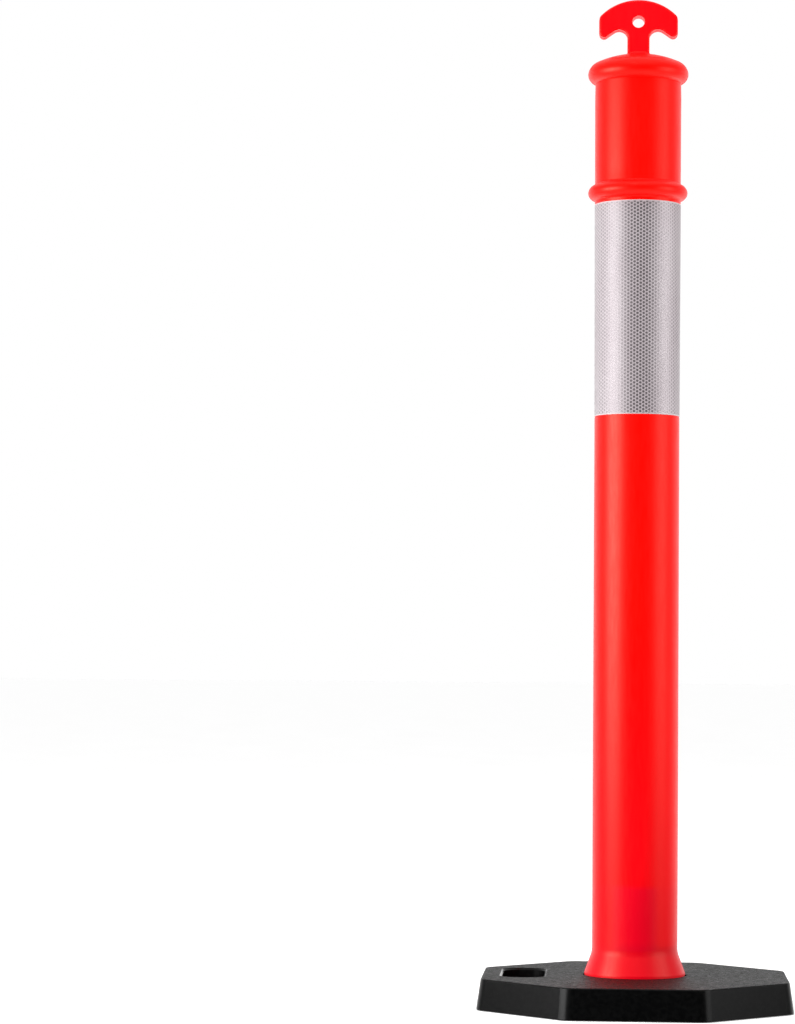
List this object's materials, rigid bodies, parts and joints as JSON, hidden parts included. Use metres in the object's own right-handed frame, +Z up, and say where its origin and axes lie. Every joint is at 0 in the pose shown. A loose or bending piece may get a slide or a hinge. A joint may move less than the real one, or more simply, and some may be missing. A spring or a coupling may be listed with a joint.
{
  "type": "delineator post",
  "caption": "T-top traffic delineator post: a slim plastic tube with a reflective sleeve and a T grip, twist-locked by a bayonet plug into a heavy octagonal rubber foot with a carrying slot.",
  "frame": {"origin": "centre of the rubber base's underside, on the ground", "axes": "+Z up along the post; -Y is the front, the T plate lies in the XZ plane; the carrying slot of the base is on the -X side"},
  "size_m": [0.3534, 0.3534, 1.1486],
  "materials": {
    "base_rubber": "moulded recycled rubber with a fine leathery grain on top, matt",
    "plug_plastic": "black injection-moulded polypropylene, fine texture",
    "post_plastic": "orange-red blow-moulded polyethylene, slightly translucent, soft gloss",
    "reflective_sheeting": "silver-white prismatic sheeting with a honeycomb cell grid, clear-coated"
  },
  "bodies": {
    "base": {"rubber_base": "base_rubber"},
    "plug": {"foot_plug": "plug_plastic"},
    "post": {"post_tube": "post_plastic", "reflective_sleeve": "reflective_sheeting", "t_top_head": "post_plastic"}
  },
  "joints": [
    {"name": "twist_lock", "type": "hinge", "parent": "base", "child": "plug", "pos_m": [0, 0, 0], "axis": [0, 0, 1], "range_deg": [0, 90]},
    {"name": "post_lift", "type": "slide", "parent": "plug", "child": "post", "axis": [0, 0, 1], "range_m": [0, 0.11]}
  ]
}
